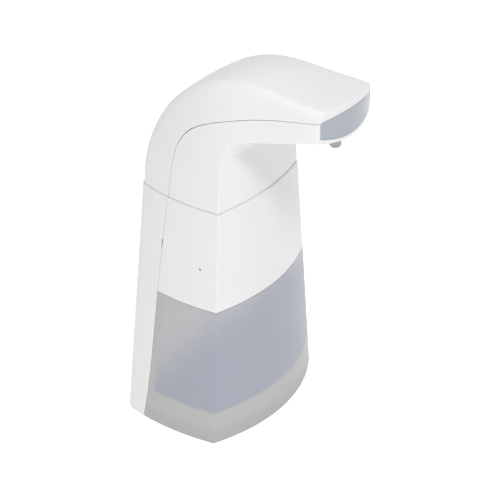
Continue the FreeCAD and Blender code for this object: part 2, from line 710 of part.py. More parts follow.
def gear_profile():
    """Involute outline of one gear, thinned a little so that the pair runs with play."""
    teeth = int(dim("gear_teeth"))
    pitch = dim("gear_module") * teeth / 2
    base = pitch * math.cos(math.radians(20))
    outer = pitch + 0.86 * dim("gear_module")
    root = pitch - 1.25 * dim("gear_module")
    play = 0.16

    def involute(radius):
        return math.sqrt((radius / base) ** 2 - 1) - math.acos(base / radius)

    half_tooth = (math.pi * dim("gear_module") / 2 - play) / (2 * pitch) + involute(pitch)

    def flank(radius, tooth, side):
        angle = tooth + side * (half_tooth - involute(max(radius, base)))
        return Vector(radius * math.cos(angle), radius * math.sin(angle), 0)

    steps = [base + (outer - base) * index / 4 for index in range(5)]
    edges = []
    for index in range(teeth):
        tooth = 2 * math.pi * index / teeth
        following = tooth + 2 * math.pi / teeth
        rising = [flank(radius, tooth, -1) for radius in steps]
        falling = [flank(radius, tooth, 1) for radius in reversed(steps)]
        edges.append(Part.LineSegment(flank(root, tooth, -1), rising[0]).toShape())
        edges.append(spline(rising))
        edges.append(arc(rising[-1], Vector(outer * math.cos(tooth), outer * math.sin(tooth), 0), falling[0]))
        edges.append(spline(falling))
        edges.append(Part.LineSegment(falling[-1], flank(root, tooth, 1)).toShape())
        valley = (tooth + following) / 2
        edges.append(arc(flank(root, tooth, 1), Vector(root * math.cos(valley), root * math.sin(valley), 0),
                         flank(root, following, -1)))
    return Part.Face(Part.Wire(edges))


def spline(points):
    curve = Part.BSplineCurve()
    curve.interpolate(points)
    return curve.toShape()


def gear_low():
    """Underside of the gears."""
    return dim("pump_base") + 5.0


def make_gear(side, bore, turn):
    gear = gear_profile().extrude(Vector(0, 0, dim("gear_face")))
    gear.rotate(Vector(0, 0, 0), Vector(0, 0, 1), turn)
    gear.translate(Vector(side * dim("gear_centres") / 2, dim("pump_y"), gear_low()))
    x = side * dim("gear_centres") / 2
    return gear.cut(rod(bore, (x, dim("pump_y"), 100), (x, dim("pump_y"), 200)))


def make_pump_body():
    y = dim("pump_y")
    half = dim("gear_centres") / 2
    low = dim("pump_base")
    top = gear_low() + dim("gear_face") + 0.1
    chamber = 7.05
    body = box(-16, 16, y - 11, y + 11, low, top)
    body = body.fuse(rod(2.0, (0, y + PORT, low - 6.5), (0, y + PORT, low + 1)))
    outlet_height = gear_low() + 3
    body = body.fuse(rod(2.0, (0, y - 17.5, outlet_height), (0, y - 10, outlet_height)))
    cuts = [rod(chamber, (x, y, gear_low() - 0.1), (x, y, top + 1)) for x in (-half, half)]
    cuts += [rod(dim("shaft_radius") + dim("running_gap"), (half, y, low + 1.5), (half, y, top)),
             rod(dim("shaft_radius"), (-half, y, low + 1.5), (-half, y, top)),
             rod(1.1, (0, y + PORT, low - 8), (0, y + PORT, top - 1)),
             rod(1.1, (0, y - 20, outlet_height), (0, y - PORT + 1, outlet_height))]
    cuts += [rod(1.0, (x, y + s * 8.6, low + 3), (x, y + s * 8.6, top + 1))
             for x in (-13.5, 13.5) for s in (-1, 1)]
    return cut_all(body, cuts)


def pump_top():
    """Top of the pump body and underside of its cover."""
    return gear_low() + dim("gear_face") + 0.1


def make_pump_cover():
    y = dim("pump_y")
    half = dim("gear_centres") / 2
    top = pump_top() + 4
    cover = box(-16, 16, y - 11, y + 11, pump_top(), top)
    cuts = [rod(dim("shaft_radius") + dim("running_gap"), (half, y, 150), (half, y, 190)),
            rod(3.2, (half, y, pump_top() + 1.8), (half, y, top + 1)),
            rod(dim("shaft_radius"), (-half, y, pump_top() - 1), (-half, y, pump_top() + 2))]
    cuts += [rod(1.2, (x, y + s * 8.6, 150), (x, y + s * 8.6, 190)) for x in (-13.5, 13.5) for s in (-1, 1)]
    return cut_all(cover, cuts)


# ---------------------------------------------------------------- fasteners
def screw(head_radius, head_length, shank_radius, shank_length, seat, way):
    """Pan-head screw: its head stands on seat, its shank runs along way."""
    seat = Vector(*seat)
    way = Vector(*way)
    head = Part.makeCylinder(head_radius, head_length, seat - way * head_length, way)
    shank = Part.makeCylinder(shank_radius, shank_length, seat, way)
    slot = Part.makeCylinder(head_radius * 0.42, head_length * 0.5, seat - way * head_length, way)
    return head.fuse(shank).cut(slot)


def make_screws():
    """Every group of like screws is one sub-part."""
    feature("frame_screws", Part.makeCompound(
        [screw(2.6, 1.6, 1.25, 12, (x, -dim("panel_front"), z), (0, 1, 0)) for x, z in POSTS]))
    top = joint_low() + 2.2
    rear = [screw(2.6, 1.8, 1.25, 11, (x, y, top), (0, 0, -1)) for x, y in DECK_SCREWS[:2]]
    front = [screw(2.4, 1.4, 1.25, 8, (x, y, joint_low() + 1.5), (0, 0, 1)) for x, y in DECK_SCREWS[2:]]
    feature("deck_screws", Part.makeCompound(rear + front))
    feature("cover_screws", Part.makeCompound(
        [screw(2.4, 1.6, 1.25, 8.5, (x, y, dim("tank_roof") + 2.3), (0, 0, -1)) for x, y in COVER_SCREWS]))
    y = dim("pump_y")
    feature("pump_screws", Part.makeCompound(
        [screw(1.8, 1.4, 1.0, 11, (x, y + s * 8.6, pump_top() + 4), (0, 0, -1))
         for x in (-13.5, 13.5) for s in (-1, 1)]))
    feature("board_screws", Part.makeCompound(
        [screw(1.8, 1.2, 1.0, 3.5, (x, -10.2, 182), (0, 1, 0)) for x in (-18, 18)]))
    feature("lid_screw", screw(1.8, 0.9, 1.0, 6, (0, -27.8, LID_SCREW_Z), (0, 1, 0)))


# ---------------------------------------------------------------- batteries
LID_SCREW_Z = 86.3
CELL_SLOTS = [-1.5, -0.5, 0.5, 1.5]


def make_battery_box():
    """Open-fronted bay with a rib between each pair of cells."""
    body = new_body("battery_box")
    outside = sketch_on(body, "bay_outside", "XZ_Plane", "7.8")
    draw_rectangle(outside, "-2 * %scell_pitch - 1" % D, D + "bay_low - 1", "2 * %scell_pitch + 1" % D,
                   D + "bay_high + 3.6")
    pad(body, outside, "18")
    inside = sketch_on(body, "bay_inside", "XZ_Plane", "9.0")
    for slot in CELL_SLOTS:
        draw_rectangle(inside, "(%g - 0.47) * %scell_pitch" % (slot, D), D + "bay_low",
                       "(%g + 0.47) * %scell_pitch" % (slot, D), D + "bay_high")
    pocket(body, inside, "20", backwards=True)
    hole = sketch_on(body, "lid_screw_hole", "XZ_Plane", "19")
    draw_circle(hole, "0", "%g" % LID_SCREW_Z, "1")
    pocket(body, hole, "10", backwards=True)
    keep_body(body, "battery_box")


def make_battery_lid():
    body = new_body("battery_lid")
    lid = sketch_on(body, "lid", "XZ_Plane", "26")
    draw_rectangle(lid, "-2 * %scell_pitch - 1.3" % D, D + "bay_low - 1.3", "2 * %scell_pitch + 1.3" % D,
                   D + "bay_high + 3.9")
    pad(body, lid, "1.8")
    hole = sketch_on(body, "lid_hole", "XZ_Plane", "26")
    draw_circle(hole, "0", "%g" % LID_SCREW_Z, "1")
    pocket(body, hole, "3", backwards=True)
    grip = sketch_on(body, "lid_grip", "XZ_Plane", "27.2")
    for step in range(5):
        draw_rectangle(grip, "-9", "%g" % (66 + 3 * step), "9", "%g" % (67.2 + 3 * step))
    pocket(body, grip, "3", backwards=True)
    keep_body(body, "battery_lid")


def make_cells():
    """Four round cells, every second one upside down, with their springs and plates."""
    y = dim("cell_y")
    radius = dim("cell_radius")
    length = dim("cell_length")
    cells, springs, plates = [], [], []
    for number, slot in enumerate(CELL_SLOTS):
        x = slot * dim("cell_pitch")
        upright = number % 2 == 0
        low = dim("cell_low") if upright else dim("bay_low") + 0.6
        high = low + length
        if upright:
            body, nub = rod(radius, (x, y, low), (x, y, high - 1)), rod(2.6, (x, y, high - 1), (x, y, high))
            spring_low, plate_low = dim("bay_low") + 0.4, dim("bay_high") - 0.6
        else:
            body, nub = rod(radius, (x, y, low + 1), (x, y, high)), rod(2.6, (x, y, low), (x, y, low + 1))
            spring_low, plate_low = high + 0.1, dim("bay_low")
        cells.append(body.fuse(nub))
        springs.append(coil_spring(0.35, 3.0, 4.6, 4, (x, y, spring_low)))
        other_low = dim("bay_low") if upright else dim("bay_high") - 0.45
        for plate in (plate_low, other_low):
            plates.append(box(x - 6, x + 6, y - 6.5, y + 6.5, plate, plate + 0.35))
    feature("batteries", Part.makeCompound(cells))
    feature("battery_springs", Part.makeCompound(springs))
    feature("battery_plates", Part.makeCompound(plates))


def coil_spring(wire, radius, height, turns, foot):
    """Round-wire spring standing on foot."""
    rise = height - 2 * wire
    steps_per_turn = 12
    steps = turns * steps_per_turn
    line = []
    for index in range(steps + 1):
        angle = 2 * math.pi * index / steps_per_turn
        line.append(Vector(radius * math.cos(angle), radius * math.sin(angle), rise * index / steps))
    profile = Part.Wire([Part.makeCircle(wire, Vector(radius, 0, 0), Vector(0, 1, 0))])
    coil = Part.Wire([spline(line)]).makePipeShell([profile], True, True)
    coil.translate(Vector(foot[0], foot[1], foot[2] + wire))
    return coil


# ---------------------------------------------------------------- motor and shafts
def make_drive():
    y = dim("pump_y")
    x = dim("gear_centres") / 2
    low = pump_top() + 4
    high = low + dim("motor_length")
    radius = dim("motor_radius")
    can = rod(radius, (x, y, low), (x, y, high))
    can = can.makeFillet(1.5, [edge for edge in can.Edges if abs(edge.BoundBox.ZMin - low) < 0.01
                               and edge.BoundBox.ZLength < 0.01])
    can = can.cut(rod(dim("shaft_radius") + 0.15, (x, y, low - 1), (x, y, high - 3)))
    feature("motor_can", can)
    cap = rod(radius - 0.6, (x, y, high), (x, y, high + 3))
    terminals = [box(x - 1, x + 1, y + s * 7 - 0.3, y + s * 7 + 0.3, high + 3, high + 7) for s in (-1, 1)]
    feature("motor_cap", cap)
    feature("motor_terminals", Part.makeCompound(terminals))
    floor = dim("pump_base") + 1.5
    feature("drive_shaft", rod(dim("shaft_radius"), (x, y, floor + 0.1), (x, y, high - 3.5)))
    feature("drive_gear", make_gear(1, dim("shaft_radius"), 0.0))
    feature("driven_gear", make_gear(-1, dim("shaft_radius") + dim("running_gap"), 180 / dim("gear_teeth")))
    feature("idler_pin", rod(dim("shaft_radius"), (-x, y, floor), (-x, y, pump_top() + 1.9)))
    seal_low = pump_top() + 1.8
    feature("shaft_seal", ring(3.2, dim("shaft_radius") + 0.06, (x, y, seal_low), (x, y, seal_low + 2.0)))


# ---------------------------------------------------------------- soap path
def tube_along(points, bends, outer, inner):
    """Soft tube along straight runs joined by round bends."""
    route = [Vector(*point) for point in points]
    edges = []
    start = route[0]
    for before, corner, after, bend in zip(route, route[1:], route[2:], bends):
        back = (before - corner).normalize()
        onward = (after - corner).normalize()
        half_turn = (math.pi - back.getAngle(onward)) / 2
        reach = bend * math.tan(half_turn)
        enter = corner + back * reach
        leave = corner + onward * reach
        middle_way = (back + onward).normalize()
        middle = corner + middle_way * (bend / math.cos(half_turn) - bend)
        edges.append(Part.LineSegment(start, enter).toShape())
        edges.append(Part.Arc(enter, middle, leave).toShape())
        start = leave
    edges.append(Part.LineSegment(start, route[-1]).toShape())
    path = Part.Wire(edges)
    first_way = (route[1] - route[0]).normalize()
    solids = [path.makePipeShell([Part.Wire([Part.makeCircle(radius, route[0], first_way)])], True, False)
              for radius in (outer, inner)]
    length = path.Length
    tube = solids[0].cut(solids[1])
    expected = math.pi * (outer ** 2 - inner ** 2) * length
    if abs(tube.Volume / expected - 1) > 0.01:
        raise ValueError("the tube's volume does not match its length")
    return tube


def make_soap_path():
    """Plug-in outlet, its socket, the tubes to and from the pump, and the nozzle."""
    height = dim("outlet_height")
    back = -dim("tank_back")
    wall = dim("tank_wall")
    drop_y = dim("outlet_y")
    fitting = rod(3.8, (0, -24.2, height), (0, back - wall - 1.6, height))
    fitting = fitting.fuse(rod(6.2, (0, back - wall, height), (0, back - wall - 1.6, height)))
    fitting = fitting.fuse(rod(3.4, (0, back - wall - 1.0, height), (0, drop_y, height)))
    fitting = fitting.fuse(rod(3.4, (0, drop_y, height + 3.4), (0, drop_y, height - 9)))
    fitting = fitting.fuse(rod(2.0, (0, drop_y, height - 9), (0, drop_y, height - 17)))
    fitting = cut_all(fitting, [rod(1.3, (0, -20, height), (0, drop_y, height)),
                                rod(1.3, (0, drop_y, height), (0, drop_y, height - 20)),
                                ring(5, 2.9, (0, -26.9, height), (0, -25.5, height))])
    feature("outlet_fitting", fitting)
    feature("outlet_seal", ring(3.95, 2.9, (0, -26.85, height), (0, -25.55, height)))
    feature("dip_tube", ring(dim("tube_outer"), dim("tube_inner"), (0, drop_y, height - 9.0), (0, drop_y, 30)))
    strainer = ring(6.0, dim("tube_outer"), (0, drop_y, dim("tank_floor") + 0.3), (0, drop_y, 36))
    slots = []
    for index in range(8):
        slot = box(-0.8, 0.8, 2.9, 8, dim("tank_floor") + 1.8, 33)
        slot.rotate(Vector(0, 0, 0), Vector(0, 0, 1), 45 * index)
        slot.translate(Vector(0, drop_y, 0))
        slots.append(slot)
    feature("strainer", cut_all(strainer, slots))

    inlet_y = dim("pump_y") + PORT
    socket = box(-7, 7, -28.4, -18, height - 7, height + 7)
    socket = socket.fuse(rod(2.0, (0, inlet_y, height + 6), (0, inlet_y, height + 12.5)))
    socket = cut_all(socket, [rod(4.0, (0, -30, height), (0, -23.6, height)),
                              rod(1.3, (0, -24, height), (0, inlet_y + 1.5, height)),
                              rod(1.3, (0, inlet_y, height), (0, inlet_y, height + 14))])
    feature("inlet_socket", socket)
    feature("inlet_tube", ring(dim("tube_outer"), dim("tube_inner"), (0, inlet_y, height + 7.2),
                               (0, inlet_y, dim("pump_base") - 0.1)))

    start = (0, dim("pump_y") - 11.3, gear_low() + 3)
    run_y = dim("pump_y") - 32
    high = 221.0
    holder_back = dim("nozzle_y") + 6
    outlet = tube_along([start, (0, run_y, start[2]), (0, run_y, high), (0, holder_back + 0.2, high)],
                        (14, 22), dim("tube_outer") - 0.3, dim("tube_inner"))
    feature("outlet_tube", outlet)
    y = dim("nozzle_y")
    holder = rod(6.0, (0, y, 213), (0, y, high + 4))
    holder = holder.fuse(rod(2.0, (0, y, high), (0, holder_back + 6, high)))
    holder = cut_all(holder, [rod(1.2, (0, y, high), (0, holder_back + 8, high)),
                              rod(1.2, (0, y, 200), (0, y, high)),
                              rod(3.2, (0, y, 200), (0, y, 216))])
    feature("nozzle_holder", holder)


def make_nozzle():
    """Grey nozzle: a collar above the shell's hole, a straight stem and a rounded mouth."""
    radius = D + "nozzle_radius"
    end = D + "nozzle_end"
    body = turned_part("nozzle_tip", [("1.4", end), (radius + " - 1.2", end), (radius, end + " + 1.4"),
                                      (radius, "212.9"), ("3.2", "212.9"), ("3.2", "216"), ("1.4", "216")],
                       y=D + "nozzle_y")
    keep_body(body, "nozzle_tip")


# ---------------------------------------------------------------- filler cap
def make_filler_cap():
    """Quarter-turn cap with grip grooves, and the flat seal under it."""
    roof = D + "tank_roof"
    body = turned_part("filler_cap", [("0", roof + " + 7"), ("0", roof + " + 5.1"),
                                      (D + "filler_radius + 0.4", roof + " + 5.1"),
                                      (D + "filler_radius + 0.4", roof + " + 2.8"), (D + "cap_radius", roof + " + 2.8"),
                                      (D + "cap_radius", roof + " + 6.2"), (D + "cap_radius - 0.8", roof + " + 7")],
                       y=D + "filler_y")
    grooves = sketch_on(body, "grip_groove", "XY_Plane", roof + " + 2")
    draw_circle(grooves, "0", D + "cap_radius + 0.6", "1.1")
    groove = pocket(body, grooves, "8", backwards=True)
    pattern = body.newObject("PartDesign::PolarPattern", "grip_grooves")
    pattern.Originals = [groove]
    pattern.Axis = (grooves, ["N_Axis"])
    pattern.Angle = 360
    pattern.Occurrences = 20
    body.Tip = pattern
    slot = sketch_on(body, "coin_slot", "XY_Plane", roof + " + 5.9")
    draw_rectangle(slot, "-11", "-1.2", "11", "1.2")
    pocket(body, slot, "8", backwards=True)
    keep_body(body, "filler_cap")
    high = dim("tank_roof")
    feature("filler_seal", ring(dim("filler_radius") - 0.1, dim("filler_radius") - 2.2,
                                (0, dim("filler_y"), high + 4.5), (0, dim("filler_y"), high + 5.05)))


# ---------------------------------------------------------------- electronics
def make_electronics():
    body = new_body("main_board")
    outline = sketch_on(body, "board_outline", "XZ_Plane", "8.6")
    draw_rectangle(outline, "-22", "162", "22", "188")
    pad(body, outline, "1.6")
    holes = sketch_on(body, "board_holes", "XZ_Plane", "8.6")
    for x in ("-18", "18"):
        draw_circle(holes, x, "182", "1")
    pocket(body, holes, "3", backwards=True)
    keep_body(body, "main_board")
    front = -10.2
    chips = [box(-12, -5, front - 1.6, front, 166, 173), box(3, 7, front - 1.2, front, 166, 170)]
    feature("board_chips", Part.makeCompound(chips))
    feature("board_capacitor", rod(3.0, (11, front, 184), (11, front - 5, 184)))
    sockets = [box(-16 + 12 * n, -8 + 12 * n, front - 4.5, front, 175, 179) for n in range(2)]
    feature("board_connectors", Part.makeCompound(sockets))

    board_back = dim("nozzle_y") - 6.4
    feature("sensor_board", box(-17, 17, board_back - 1.0, board_back, 213.5, 227.5))
    eyes = [box(x - 1.6, x + 1.6, board_back - 1.8, board_back - 1.0, 218.5, 222.5) for x in (-11, 11)]
    feature("sensor_eyes", Part.makeCompound(eyes))
    feature("status_light", box(-1, 1, board_back - 1.8, board_back - 1.0, 218.0, 219.6))

    x, z = BUTTON_X, BUTTON_Z
    switch_front = -23.9
    feature("button_switch", box(x - 3, x + 3, switch_front, switch_front + 3.4, z - 3, z + 3))
    feature("button_board", box(x - 9, x + 9, switch_front + 3.4, switch_front + 4.8, z - 8, z + 8))
    button = rod(3.0, (x, -28.0, z), (x, -25.7, z)).fuse(rod(4.2, (x, -25.8, z), (x, -24.7, z)))
    feature("mode_button", button)


# ---------------------------------------------------------------- build
make_wall_plate()
lower_skin = lower_shell()
feature("rear_cover", make_rear_cover(lower_skin))
feature("front_cover", make_front_cover(lower_skin))
feature("tank", make_tank())
head_top, head_under = head_shells()
feature("head_top_cover", head_top)
feature("head_under_cover", head_under)
feature("sensor_window", make_window())
feature("chassis", make_chassis())
feature("pump_deck", make_pump_deck())
feature("pump_body", make_pump_body())
feature("pump_cover", make_pump_cover())
make_battery_box()
make_battery_lid()
make_cells()
make_drive()
make_soap_path()
make_nozzle()
make_filler_cap()
make_electronics()
make_screws()
doc.recompute()

for obj in doc.Objects:
    if "Invalid" in obj.State or "Error" in obj.State:
        raise ValueError("%s did not build: %s" % (obj.Label, obj.State))
for obj in sub_parts:
    if obj.Shape.isNull() or not obj.Shape.isValid():
        raise ValueError("%s has a bad shape" % obj.Label)

os.makedirs("parts", exist_ok=True)
for obj in sub_parts:
    obj.Shape.exportStep("parts/%s.step" % obj.Label)
    print("%-18s %d solid(s) %9.1f mm3" % (obj.Label, len(obj.Shape.Solids), obj.Shape.Volume))
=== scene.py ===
"""Wall mounted soap dispenser: materials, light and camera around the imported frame.
Metres, +Z up, the wall is the plane Y = 0 and the spout points along -Y."""

import json
import math

import bpy
from mathutils import Matrix, Vector


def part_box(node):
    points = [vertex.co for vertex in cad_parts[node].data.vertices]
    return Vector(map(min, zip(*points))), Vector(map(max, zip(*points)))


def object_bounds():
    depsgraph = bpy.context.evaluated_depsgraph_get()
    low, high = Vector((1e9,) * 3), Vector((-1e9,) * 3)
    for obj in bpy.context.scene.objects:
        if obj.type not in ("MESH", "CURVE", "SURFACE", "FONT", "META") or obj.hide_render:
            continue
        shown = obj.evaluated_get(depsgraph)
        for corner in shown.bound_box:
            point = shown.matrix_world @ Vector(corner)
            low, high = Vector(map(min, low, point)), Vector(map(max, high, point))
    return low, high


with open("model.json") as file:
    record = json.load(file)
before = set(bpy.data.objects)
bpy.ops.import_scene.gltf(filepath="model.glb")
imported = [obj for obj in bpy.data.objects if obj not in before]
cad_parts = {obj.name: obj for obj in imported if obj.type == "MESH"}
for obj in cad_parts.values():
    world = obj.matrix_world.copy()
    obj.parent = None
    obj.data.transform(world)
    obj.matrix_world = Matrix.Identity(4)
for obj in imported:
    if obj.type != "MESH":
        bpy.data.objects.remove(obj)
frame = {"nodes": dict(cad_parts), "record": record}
cad_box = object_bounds()

# ---------------------------------------------------------------- camera
VIEW_TARGET = Vector((0.0073, -0.060, 0.011))
VIEW_AZIMUTH = math.radians(-60.0)
VIEW_ELEVATION = math.radians(27.0)
VIEW_ROLL = math.radians(1.0)
VIEW_DISTANCE = 1.1
VIEW_WIDTH = 1 / 3.02  # metres across the picture, at the target
SENSOR_WIDTH = 36.0
FOCAL_LENGTH = VIEW_DISTANCE / VIEW_WIDTH * SENSOR_WIDTH


def view_axes(azimuth, elevation):
    """Right, up and backward directions of a viewer who looks at the object from that side."""
    right = Vector((math.cos(azimuth), math.sin(azimuth), 0.0))
    backward = Vector((math.sin(azimuth) * math.cos(elevation),
                       -math.cos(azimuth) * math.cos(elevation), math.sin(elevation)))
    return right, backward.cross(right), backward


def add_camera():
    right, up, backward = view_axes(VIEW_AZIMUTH, VIEW_ELEVATION)
    turn = Matrix.Rotation(VIEW_ROLL, 3, backward)
    data = bpy.data.cameras.new("camera")
    data.sensor_width = SENSOR_WIDTH
    data.lens = FOCAL_LENGTH
    data.clip_start = 0.05
    data.clip_end = 20.0
    camera = bpy.data.objects.new("camera", data)
    bpy.context.scene.collection.objects.link(camera)
    axes = Matrix((turn @ right, turn @ up, backward)).transposed().to_4x4()
    camera.matrix_world = Matrix.Translation(VIEW_TARGET + backward * VIEW_DISTANCE) @ axes
    bpy.context.scene.camera = camera


# ---------------------------------------------------------------- light and floor
WORLD_BRIGHTNESS = 0.59
# Each light: name, azimuth and elevation in degrees, distance and size in metres, watts.
LIGHTS = (
    ("key", -51.0, 49.0, 1.3, 0.28, 7.2),
    ("fill", -20.0, 30.0, 1.8, 1.4, 0.5),
    ("top", 0.0, 88.0, 1.5, 1.2, 5.6),
)
FLOOR_HALF_WIDTH = 6.0
FLOOR_GAP = 0.0004
FLOOR_GLOW = 0.34


def add_panel(name, azimuth, elevation, distance, size, power):
    """Soft square light that faces the object."""
    data = bpy.data.lights.new(name, "AREA")
    data.shape = "SQUARE"
    data.size = size
    data.energy = power
    right, up, backward = view_axes(math.radians(azimuth), math.radians(elevation))
    panel = bpy.data.objects.new(name, data)
    bpy.context.scene.collection.objects.link(panel)
    axes = Matrix((right, up, backward)).transposed().to_4x4()
    panel.matrix_world = Matrix.Translation(VIEW_TARGET + backward * distance) @ axes


def add_world(brightness):
    world = bpy.data.worlds.new("studio")
    world.use_nodes = True
    background = world.node_tree.nodes["Background"]
    background.inputs["Color"].default_value = (1.0, 1.0, 1.0, 1.0)
    background.inputs["Strength"].default_value = brightness
    bpy.context.scene.world = world


def add_floor():
    """White floor that glows a little, so that it stays as bright as the backdrop."""
    half = FLOOR_HALF_WIDTH
    level = cad_box[0][2] - FLOOR_GAP
    mesh = bpy.data.meshes.new("floor")
    corners = [(-half, -half, level), (half, -half, level),
               (half, half, level), (-half, half, level)]
    mesh.from_pydata(corners, [], [(0, 1, 2, 3)])
    floor = bpy.data.objects.new("floor", mesh)
    bpy.context.scene.collection.objects.link(floor)
    paint = finish("floor_paint", (0.95, 0.95, 0.95), 0.9, grain=0.01, grain_size=0.05, bump=0.0)
    glow = paint.node_tree.nodes["Principled BSDF"].inputs
    glow["Emission Color"].default_value = (1.0, 1.0, 1.0, 1.0)
    glow["Emission Strength"].default_value = FLOOR_GLOW
    floor.data.materials.append(paint)


# ---------------------------------------------------------------- materials
TANK_FLOOR = 0.022  # height of the tank's floor above its lowest edge
TANK_FOOT_LINE = 0.013  # drop from that floor to the darker part of the foot
TANK_PALE_START = 0.040  # the painted light zone fades in from this far below the floor, up the slope and is full this far above it
TANK_PALE_FULL = 0.002  # and is full this far above it
TANK_REAR_EDGE = -0.0205  # Y of the rear edge, at the tank's floor
TANK_REAR_LEAN = 0.068  # how far the rear edge comes forward per metre of height
TANK_REAR_START = 0.0085  # the rear wall's painted light, a milk-white tone, fades in from this far in front of the edge
TANK_REAR_FULL = 0.005
LINE_SOFTNESS = 0.0012
EDGE_ROUNDING = 0.0007


class Finish:
    """Small helper that adds nodes to one material and links them."""

    def __init__(self, name):
        self.material = bpy.data.materials.new(name)
        self.material.use_nodes = True
        self.tree = self.material.node_tree
        self.shader = self.tree.nodes["Principled BSDF"]
        self.place = self.tree.nodes.new("ShaderNodeTexCoord").outputs["Object"]

    def node(self, kind, **settings):
        node = self.tree.nodes.new(kind)
        for key, value in settings.items():
            setattr(node, key, value)
        return node

    def link(self, source, target):
        self.tree.links.new(source, target)

    def noise(self, size, detail=3.0, stretch=(1.0, 1.0, 1.0)):
        """Noise whose blotches are about `size` metres across."""
        mapping = self.node("ShaderNodeMapping")
        mapping.inputs["Scale"].default_value = stretch
        self.link(self.place, mapping.inputs["Vector"])
        texture = self.node("ShaderNodeTexNoise")
        texture.inputs["Scale"].default_value = 1.0 / size
        texture.inputs["Detail"].default_value = detail
        self.link(mapping.outputs["Vector"], texture.inputs["Vector"])
        return texture.outputs["Fac"]

    def remap(self, value, low, high, source_low=0.3, source_high=0.7):
        node = self.node("ShaderNodeMapRange")
        node.inputs["From Min"].default_value = source_low
        node.inputs["From Max"].default_value = source_high
        node.inputs["To Min"].default_value = low
        node.inputs["To Max"].default_value = high
        self.link(value, node.inputs["Value"])
        return node.outputs["Result"]

    def soft(self, value, start, end):
        """0 up to start, 1 from end, with a smooth rise between."""
        node = self.node("ShaderNodeMapRange", interpolation_type="SMOOTHSTEP")
        node.inputs["From Min"].default_value = start
        node.inputs["From Max"].default_value = end
        self.link(value, node.inputs["Value"])
        return node.outputs["Result"]

    def mix(self, share, first, second):
        """Colour between two, each a tuple or a socket."""
        node = self.node("ShaderNodeMix", data_type="RGBA")
        for socket, colour in ((node.inputs[6], first), (node.inputs[7], second)):
            if isinstance(colour, tuple):
                socket.default_value = (*colour, 1.0)
            else:
                self.link(colour, socket)
        self.link(share, node.inputs[0])
        return node.outputs[2]

    def height(self, axis="Z"):
        split = self.node("ShaderNodeSeparateXYZ")
        self.link(self.place, split.inputs["Vector"])
        return split.outputs[axis]

    def along(self, x, y, z):
        """Distance along a direction."""
        product = self.node("ShaderNodeVectorMath", operation="DOT_PRODUCT")
        product.inputs[1].default_value = (x, y, z)
        self.link(self.place, product.inputs[0])
        return product.outputs["Value"]

    def bump(self, height, strength, depth, normal=None):
        node = self.node("ShaderNodeBump")
        node.inputs["Strength"].default_value = strength
        node.inputs["Distance"].default_value = depth
        self.link(height, node.inputs["Height"])
        if normal:
            self.link(normal, node.inputs["Normal"])
        self.link(node.outputs["Normal"], self.shader.inputs["Normal"])


def scaled(colour, factor):
    return tuple(min(channel * factor, 1.0) for channel in colour)


def finish(name, colour, roughness, grain=0.03, grain_size=0.02, bump=0.05, bump_size=0.00035,
           metallic=0.0, stretch=(1.0, 1.0, 1.0), coat=0.0):
    """A surface with slow colour drift, uneven gloss and a fine moulded or brushed texture."""
    made = Finish(name)
    drift = made.remap(made.noise(grain_size, stretch=stretch), 0.0, 1.0)
    made.link(made.mix(drift, scaled(colour, 1 - grain), colour), made.shader.inputs["Base Color"])
    gloss = made.noise(grain_size * 0.4, 5.0, stretch)
    made.link(made.remap(gloss, roughness * 0.88, min(roughness * 1.12, 1.0)),
              made.shader.inputs["Roughness"])
    made.shader.inputs["Metallic"].default_value = metallic
    made.shader.inputs["Coat Weight"].default_value = coat
    if bump:
        made.bump(made.noise(bump_size, 2.0, stretch), bump, bump_size * 0.3)
    return made.material


def edge_highlighted(name, colour, roughness, edge_highlight):
    """White shell: satin, with a fine spark-eroded texture and a painted highlight along its
    edges.
    """
    made = Finish(name)
    drift = made.remap(made.noise(0.03), 0.0, 1.0)
    body = made.mix(drift, scaled(colour, 0.985), colour)
    rounded = made.node("ShaderNodeBevel", samples=6)
    rounded.inputs["Radius"].default_value = EDGE_ROUNDING
    apart = made.node("ShaderNodeVectorMath", operation="DISTANCE")
    made.link(rounded.outputs["Normal"], apart.inputs[0])
    made.link(made.node("ShaderNodeNewGeometry").outputs["Normal"], apart.inputs[1])
    # The rounded normal leaves the true one only along an edge.
    share = made.remap(apart.outputs["Value"], 0.0, 1.0, 0.12, 0.7)
    # Painted highlight: along an edge the colour turns lighter.
    made.link(made.mix(share, body, edge_highlight), made.shader.inputs["Base Color"])
    made.link(made.remap(made.noise(0.008, 5.0), roughness * 0.9, roughness * 1.1),
              made.shader.inputs["Roughness"])
    made.bump(made.noise(0.0004, 2.0), 0.06, 0.00008, rounded.outputs["Normal"])
    return made.material


